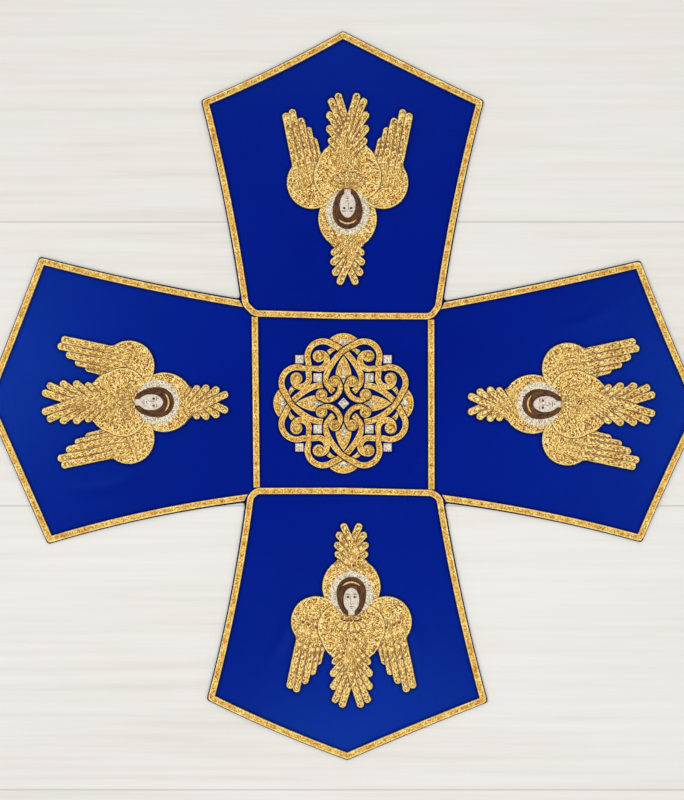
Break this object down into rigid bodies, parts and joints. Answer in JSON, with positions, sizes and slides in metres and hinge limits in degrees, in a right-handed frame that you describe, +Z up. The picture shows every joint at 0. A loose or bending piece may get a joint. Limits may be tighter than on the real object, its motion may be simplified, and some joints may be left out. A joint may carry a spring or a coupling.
{
  "type": "chalice cover",
  "caption": "Cross-shaped cloth cover for a chalice, with flared arms, gold braid edges, embroidered winged figures and an interlaced rosette at its centre.",
  "frame": {"origin": "middle of the centre square, on the underside of the cloth", "axes": "+Z up from the surface that the cover lies on, +Y along the longest arm, +X along the arm to its right"},
  "size_m": [0.5304, 0.5381, 0.0038],
  "materials": {
    "cloth_blue": "satin-like, faint weave",
    "gold_braid": "metallic braid, two cords with a groove",
    "gold_thread": "metallic embroidery thread, speckled",
    "silver_thread": "silver white embroidery thread",
    "brown_thread": "matt embroidery thread",
    "pale_gold_thread": "pale metallic embroidery thread",
    "face_thread": "matt embroidery thread"
  },
  "bodies": {
    "root": {"cloth": "cloth_blue", "braid_top": "gold_braid", "braid_bottom": "gold_braid", "braid_left": "gold_braid", "braid_right": "gold_braid", "braid_square_left": "gold_braid", "braid_square_right": "gold_braid", "wings_top": "gold_thread", "halo_top": "silver_thread", "hair_top": "brown_thread", "band_top": "pale_gold_thread", "face_top": "face_thread", "wings_right": "gold_thread", "halo_right": "silver_thread", "hair_right": "brown_thread", "band_right": "pale_gold_thread", "face_right": "face_thread", "wings_bottom": "gold_thread", "halo_bottom": "silver_thread", "hair_bottom": "brown_thread", "band_bottom": "pale_gold_thread", "face_bottom": "face_thread", "wings_left": "gold_thread", "halo_left": "silver_thread", "hair_left": "brown_thread", "band_left": "pale_gold_thread", "face_left": "face_thread", "rosette": "gold_thread", "leaf_core_1": "silver_thread", "cap_core_1": "silver_thread", "inner_square_1": "silver_thread", "outer_square_1": "silver_thread", "leaf_core_2": "silver_thread", "cap_core_2": "silver_thread", "inner_square_2": "silver_thread", "outer_square_2": "silver_thread", "leaf_core_3": "silver_thread", "cap_core_3": "silver_thread", "inner_square_3": "silver_thread", "outer_square_3": "silver_thread", "leaf_core_4": "silver_thread", "cap_core_4": "silver_thread", "inner_square_4": "silver_thread", "outer_square_4": "silver_thread", "centre_lozenge": "silver_thread"}
  },
  "joints": []
}
